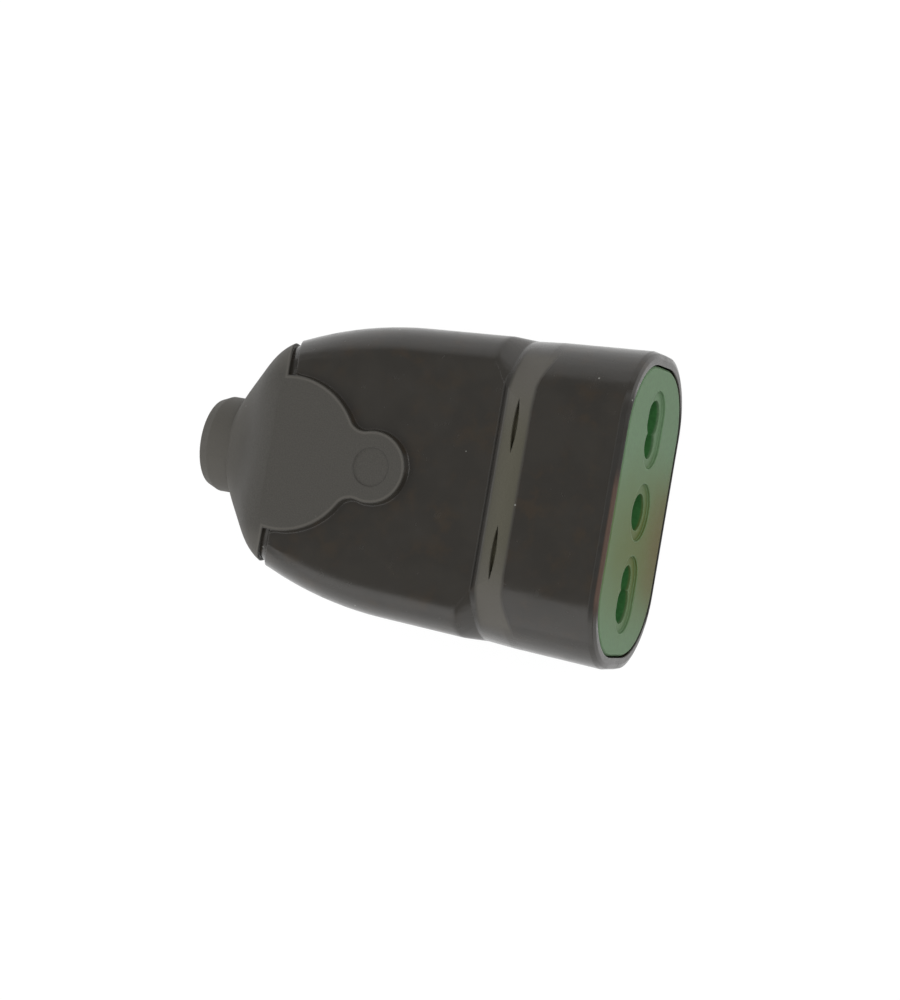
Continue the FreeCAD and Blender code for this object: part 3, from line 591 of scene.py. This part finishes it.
def rubber_material(look):
    """Black moulded rubber: smooth glossy faces, and a finely grained pad, collar and waist."""
    material, wire = start_material("black_rubber_moulded")
    place = place_in_object(wire)
    area = rubber_areas(look, *(along_axis(wire, place, axis) for axis in "XYZ"))
    glossy = 1 - area.matte
    grain = noise(wire, place, *GRAIN_NOISE)
    smudge = noise(wire, place, *SMUDGE_NOISE).fade(*SMUDGE_RANGE)
    dulled = SMUDGE_ROUGHNESS * smudge + RIM_ROUGHNESS * area.rim.at_least(area.step_shade)
    roughness = area.matte * look.matte_roughness + glossy * (look.gloss_roughness + dulled)
    ripple = noise(wire, stretched(wire, place, RIPPLE_STRETCH), *RIPPLE_NOISE)
    eased = area.sides.blend(soft_edges(wire, PLAIN_EASE), soft_edges(wire, SIDES_EASE))
    normal = bump(wire, ripple * glossy, RIPPLE_HEIGHT, eased)
    normal = bump(wire, grain * area.matte, GRAIN_HEIGHT, normal)
    finish_material(wire, {
        "Base Color": rubber_colour(look, wire, place, area, grain),
        "Roughness": roughness, "Normal": normal})
    return material


# Mouldings

# Face: fades in millimetres, and spots as centre and reach across and up the face
OPENING_DEPTH = (0.5, 1.0)
MIDDLE_HEIGHT = (10.0, 9.0)
FADED_SPOT = ((-4.5, 8.0), (14.0, 30.0))
FADED_EDGE = (1.15, 0.1)
BROWNED_SPOT = ((-4.5, 1.0), (13.0, 10.0))
BROWNED_EDGE = (1.1, 0.1)
BROWNED_SHARE = 0.8
EDGE_HIGHLIGHT_TINT = (0.6, 1.7)
GREEN_SHADES = (0.93, 1.07)
FRESH_SHADES = (0.92, 1.1)
MOTTLE_NOISE = (1.6, 4.0)
MOTTLE_RANGE = (0.3, 0.7)
MOTTLE_ROUGHNESS = 0.12
WANDER_NOISE = (0.18, 2.0)
WANDER_REACH = 0.25
SATIN_NOISE = (6.0, 3.0)
SATIN_HEIGHT = 0.008
FACE_EASE = 0.3
FACE_SPECULAR = 0.12

# Terminal base and saddle
FLOW_NOISE = (0.9, 4.0)
FLOW_RANGE = (0.3, 0.75)
FLOW_STRETCH = (0.3, 1.0, 1.0)
FLOW_SHADE = 0.9
PIT_NOISE = (4.0, 3.0)
PIT_HEIGHT = 0.012
PIT_ROUGHNESS = 0.15
BASE_EASE = 0.2


def from_spot(first, second, centre, reach):
    """Distance from a spot's centre, counted as 1 at the spot's edge."""
    return from_centre((first - centre[0]) / reach[0], (second - centre[1]) / reach[1])


def green_material(look):
    """Green moulding: a dulled face, faded below its middle, fresh colour in the openings, and
    painted highlights along its edges.
    """
    material, wire = start_material("green_moulding_satin")
    place = place_in_object(wire)
    x, y, z = (along_axis(wire, place, axis) for axis in "XYZ")
    eased = soft_edges(wire, FACE_EASE)
    inside = (MOUTH - x).fade(*OPENING_DEPTH)
    middle = abs(z - AXIS_HEIGHT).fade(*MIDDLE_HEIGHT)
    mottle = noise(wire, place, *MOTTLE_NOISE)
    patch = mottle.fade(*MOTTLE_RANGE)
    wander = (noise(wire, place, *WANDER_NOISE) - 0.5) * WANDER_REACH
    faded = (from_spot(y, z, *FADED_SPOT) + wander).fade(*FADED_EDGE)
    browned = (from_spot(y, z, *BROWNED_SPOT) + wander).fade(*BROWNED_EDGE)
    green = patch.mix(*(shade(look.green, factor) for factor in GREEN_SHADES))
    fresh = patch.mix(*(shade(look.fresh, factor) for factor in FRESH_SHADES))
    colour = (browned * BROWNED_SHARE).mix(faded.mix(green, look.faded), look.browned)
    colour = inside.mix(colour, fresh)
    # Painted highlight: lighter green along the face's edges, away from its border and the openings
    edge = edge_mask(wire, eased) * middle * (1 - inside)
    colour = tint(colour, edge, look.green, EDGE_HIGHLIGHT_TINT)
    finish_material(wire, {
        "Base Color": colour,
        "Roughness": look.roughness + MOTTLE_ROUGHNESS * mottle,
        "Specular IOR Level": FACE_SPECULAR,
        "Normal": bump(wire, noise(wire, place, *SATIN_NOISE), SATIN_HEIGHT, eased)})
    return material


def ivory_material(look):
    """Pressed ivory thermoset with faint flow marks."""
    material, wire = start_material("ivory_moulding_pressed")
    place = place_in_object(wire)
    flow = noise(wire, stretched(wire, place, FLOW_STRETCH), *FLOW_NOISE)
    pit = noise(wire, place, *PIT_NOISE)
    finish_material(wire, {
        "Base Color": flow.fade(*FLOW_RANGE).mix(shade(look.ivory, FLOW_SHADE), look.ivory),
        "Roughness": look.roughness + PIT_ROUGHNESS * pit,
        "Normal": bump(wire, pit, PIT_HEIGHT, soft_edges(wire, BASE_EASE))})
    return material


# Metal

METAL_EASE = 0.12
CLOUD_ROUGHNESS = 0.2
LINES_NOISE = (3.0, 4.0, 0.7)
LINES_RANGE = (0.25, 0.75)
LINES_SHADE = 0.86
LINES_HEIGHT = 0.006
TARNISH_NOISE = (0.7, 3.0)
TARNISH_RANGE = (0.45, 0.8)
TARNISH_SHADE = 0.6
ZINC_NOISE = (1.2, 3.0)
ZINC_RANGE = (0.3, 0.75)
ZINC_SHADE = 0.82
ZINC_ROUGHNESS = 0.28
THREAD_HEIGHT = 0.06


def metal_material(name, colour, along, roughness, stain):
    """Drawn or plated metal: fine lines along one way, and clouds of tarnish."""
    material, wire = start_material(name)
    place = place_in_object(wire)
    lines = noise(wire, stretched(wire, place, along), *LINES_NOISE)
    cloud = noise(wire, place, *TARNISH_NOISE)
    bright = lines.fade(*LINES_RANGE).mix(shade(colour, LINES_SHADE), colour)
    finish_material(wire, {
        "Base Color": tint(bright, cloud.fade(*TARNISH_RANGE), colour, (stain, TARNISH_SHADE)),
        "Metallic": 1.0,
        "Roughness": roughness + CLOUD_ROUGHNESS * cloud,
        "Normal": bump(wire, lines, LINES_HEIGHT, soft_edges(wire, METAL_EASE))})
    return material


def screw_material(look, name, axis):
    """Zinc-plated steel with the turns of a fine thread along one axis."""
    material, wire = start_material(name)
    place = place_in_object(wire)
    cloud = noise(wire, place, *ZINC_NOISE)
    turns = (along_axis(wire, place, axis) * (math.tau / look.thread * MM)).maths("SINE")
    finish_material(wire, {
        "Base Color": cloud.fade(*ZINC_RANGE).mix(shade(look.zinc, ZINC_SHADE), look.zinc),
        "Metallic": 1.0,
        "Roughness": ZINC_ROUGHNESS + CLOUD_ROUGHNESS * cloud,
        "Normal": bump(wire, turns, THREAD_HEIGHT, soft_edges(wire, METAL_EASE))})
    return material


# Pieces

class SOCKET_OT_dress_housing(bpy.types.Operator):
    """Finish the rubber housing"""
    bl_idname = "cable_socket.dress_housing"
    bl_label = "Rubber housing"

    def execute(self, context):
        look = context.scene.cable_socket.rubber
        dress(["rubber_housing"], rubber_material(look))
        return {"FINISHED"}


class SOCKET_OT_dress_face(bpy.types.Operator):
    """Finish the green face insert"""
    bl_idname = "cable_socket.dress_face"
    bl_label = "Face insert"

    def execute(self, context):
        look = context.scene.cable_socket.moulding
        dress(["face_insert"], green_material(look))
        return {"FINISHED"}


class SOCKET_OT_dress_base(bpy.types.Operator):
    """Finish the terminal base and the cord clamp's saddle"""
    bl_idname = "cable_socket.dress_base"
    bl_label = "Terminal base and saddle"

    def execute(self, context):
        look = context.scene.cable_socket.moulding
        dress(["terminal_base", "cord_clamp_saddle"], ivory_material(look))
        return {"FINISHED"}


class SOCKET_OT_dress_contacts(bpy.types.Operator):
    """Finish the brass contacts and their steel bands"""
    bl_idname = "cable_socket.dress_contacts"
    bl_label = "Contacts and springs"

    def execute(self, context):
        look = context.scene.cable_socket.metal
        brass = metal_material(
            "contact_brass_drawn", look.brass, along=(0.1, 1.0, 1.0), roughness=0.22, stain=0.5)
        dress(["earth_contact", "line_contact_left", "line_contact_right"], brass)
        steel = metal_material(
            "spring_steel_blued", look.spring, along=(1.0, 0.2, 0.2), roughness=0.25, stain=0.3)
        dress(["earth_spring", "line_spring_left", "line_spring_right"], steel)
        return {"FINISHED"}


class SOCKET_OT_dress_terminals(bpy.types.Operator):
    """Finish the wire cages"""
    bl_idname = "cable_socket.dress_terminals"
    bl_label = "Terminals"

    def execute(self, context):
        look = context.scene.cable_socket.metal
        plated = metal_material(
            "terminal_brass_plated", look.plated, along=(1.0, 0.15, 1.0), roughness=0.25, stain=0.4)
        cages = ["earth_terminal", "line_terminal_left", "line_terminal_right"]
        dress(cages, plated)
        return {"FINISHED"}


class SOCKET_OT_dress_screws(bpy.types.Operator):
    """Finish every screw"""
    bl_idname = "cable_socket.dress_screws"
    bl_label = "Screws"

    def execute(self, context):
        look = context.scene.cable_socket.metal
        lying = [name for name in NODES if name.startswith("insert_screw")]
        upright = [name for name in NODES if "_screw" in name and name not in lying]
        dress(lying, screw_material(look, "screw_steel_lying", "X"))
        dress(upright, screw_material(look, "screw_steel_upright", "Z"))
        return {"FINISHED"}


# Stage

SENSOR_WIDTH = 36.0
FLOOR_NOISE = (0.02, 2.0)
FLOOR_RANGE = (0.2, 0.8)
FLOOR_SHADE = 0.98
FLOOR_WHITE = 1.06
SEEN_BY = ("Camera", "Glossy", "Transmission")

# Each soft light's name, place, width and height in metres, and the property that it is bright by
SOFTBOXES = (
    ("cord_side_softbox", (-0.85, 0.10, 0.50), (0.9, 0.8), "key"),
    ("near_side_softbox", (-0.1, -0.80, 0.47), (1.4, 1.0), "side"),
    ("far_side_softbox", (-0.1, 0.92, 0.20), (1.2, 0.4), "far"),
    ("front_softbox", (0.60, 0.20, 0.62), (0.6, 0.6), "front"),
)


def floor_material(look):
    """A pale floor that shows as plain white and keeps the object's shadow."""
    material, wire = start_material("pale_floor")
    cloud = noise(wire, place_in_object(wire), *FLOOR_NOISE)
    colour = cloud.fade(*FLOOR_RANGE).mix(shade(look.floor, FLOOR_SHADE), look.floor)
    matte = wire.node("ShaderNodeBsdfDiffuse", None, {"Color": colour})
    white = wire.node("ShaderNodeEmission", None, {"Color": WHITE, "Strength": FLOOR_WHITE})
    camera, glossy, clear = (
        wire.node("ShaderNodeLightPath", output="Is %s Ray" % kind) for kind in SEEN_BY)
    share = camera.at_least(glossy).at_least(clear) * look.white_share
    shader = wire.node("ShaderNodeMixShader", None, {0: share, 1: matte, 2: white})
    wire.node("ShaderNodeOutputMaterial", None, {"Surface": shader})
    return material


def add_floor(look):
    """The floor under the object."""
    half = look.floor_size / 2
    level = CAD_BOX[0].z
    corners = [(x * half, y * half, level) for x, y in ((-1, -1), (1, -1), (1, 1), (-1, 1))]
    mesh = bpy.data.meshes.new("floor")
    mesh.from_pydata(corners, [], [(0, 1, 2, 3)])
    mesh.materials.append(floor_material(look))
    floor = bpy.data.objects.new("floor", mesh)
    bpy.context.scene.collection.objects.link(floor)


def add_softbox(name, place, aim, size, brightness):
    """A soft rectangular light of an even brightness, turned to a point."""
    lamp = bpy.data.lights.new(name, "AREA")
    lamp.shape = "RECTANGLE"
    lamp.size, lamp.size_y = size
    lamp.energy = brightness * math.pi * size[0] * size[1]
    softbox = bpy.data.objects.new(name, lamp)
    softbox.location = place
    softbox.rotation_euler = (aim - Vector(place)).to_track_quat("-Z", "Y").to_euler()
    bpy.context.scene.collection.objects.link(softbox)


def add_room(look):
    """A dim even room round the object."""
    world = bpy.data.worlds.new("dim_room")
    world.use_nodes = True
    background = world.node_tree.nodes["Background"]
    background.inputs["Color"].default_value = WHITE
    background.inputs["Strength"].default_value = look.room
    bpy.context.scene.world = world


def add_camera(look):
    """The camera, turned about its own axis as the picture was held."""
    lens = bpy.data.cameras.new("camera")
    lens.lens = look.lens
    lens.sensor_fit = "AUTO"
    lens.sensor_width = SENSOR_WIDTH
    camera = bpy.data.objects.new("camera", lens)
    place, aim = Vector(look.camera_place), Vector(look.camera_aim)
    facing = (aim - place).to_track_quat("-Z", "Y").to_matrix().to_4x4()
    turned = facing @ Matrix.Rotation(look.camera_roll, 4, "Z")
    camera.matrix_world = Matrix.Translation(place) @ turned
    bpy.context.scene.collection.objects.link(camera)
    bpy.context.scene.camera = camera


class SOCKET_OT_set_stage(bpy.types.Operator):
    """Set up the floor, the light and the camera"""
    bl_idname = "cable_socket.set_stage"
    bl_label = "Stage"

    def execute(self, context):
        look = context.scene.cable_socket.stage
        middle = (CAD_BOX[0] + CAD_BOX[1]) / 2
        add_floor(look)
        add_room(look)
        for name, place, size, brightness in SOFTBOXES:
            add_softbox(name, place, middle, size, getattr(look, brightness))
        add_camera(look)
        context.scene.view_settings.view_transform = "Standard"
        return {"FINISHED"}


# Add-on

STEPS = (
    SOCKET_OT_dress_housing,
    SOCKET_OT_dress_face,
    SOCKET_OT_dress_base,
    SOCKET_OT_dress_contacts,
    SOCKET_OT_dress_terminals,
    SOCKET_OT_dress_screws,
    SOCKET_OT_set_stage,
)


class SOCKET_PT_panel(bpy.types.Panel):
    """The cable socket's steps, in their order"""
    bl_label = "Cable Socket"
    bl_idname = "SOCKET_PT_panel"
    bl_space_type = "VIEW_3D"
    bl_region_type = "UI"
    bl_category = "Cable Socket"

    def draw(self, context):
        for step in STEPS:
            self.layout.operator(step.bl_idname)


CLASSES = (RubberLook, MouldingLook, MetalLook, StageLook, SocketLook, *STEPS, SOCKET_PT_panel)


def register():
    for item in CLASSES:
        bpy.utils.register_class(item)
    bpy.types.Scene.cable_socket = bpy.props.PointerProperty(type=SocketLook)


def unregister():
    del bpy.types.Scene.cable_socket
    for item in reversed(CLASSES):
        bpy.utils.unregister_class(item)


def main():
    """Runs every step."""
    register()
    for step in STEPS:
        family, name = step.bl_idname.split(".")
        getattr(getattr(bpy.ops, family), name)()


if __name__ == "__main__":
    main()
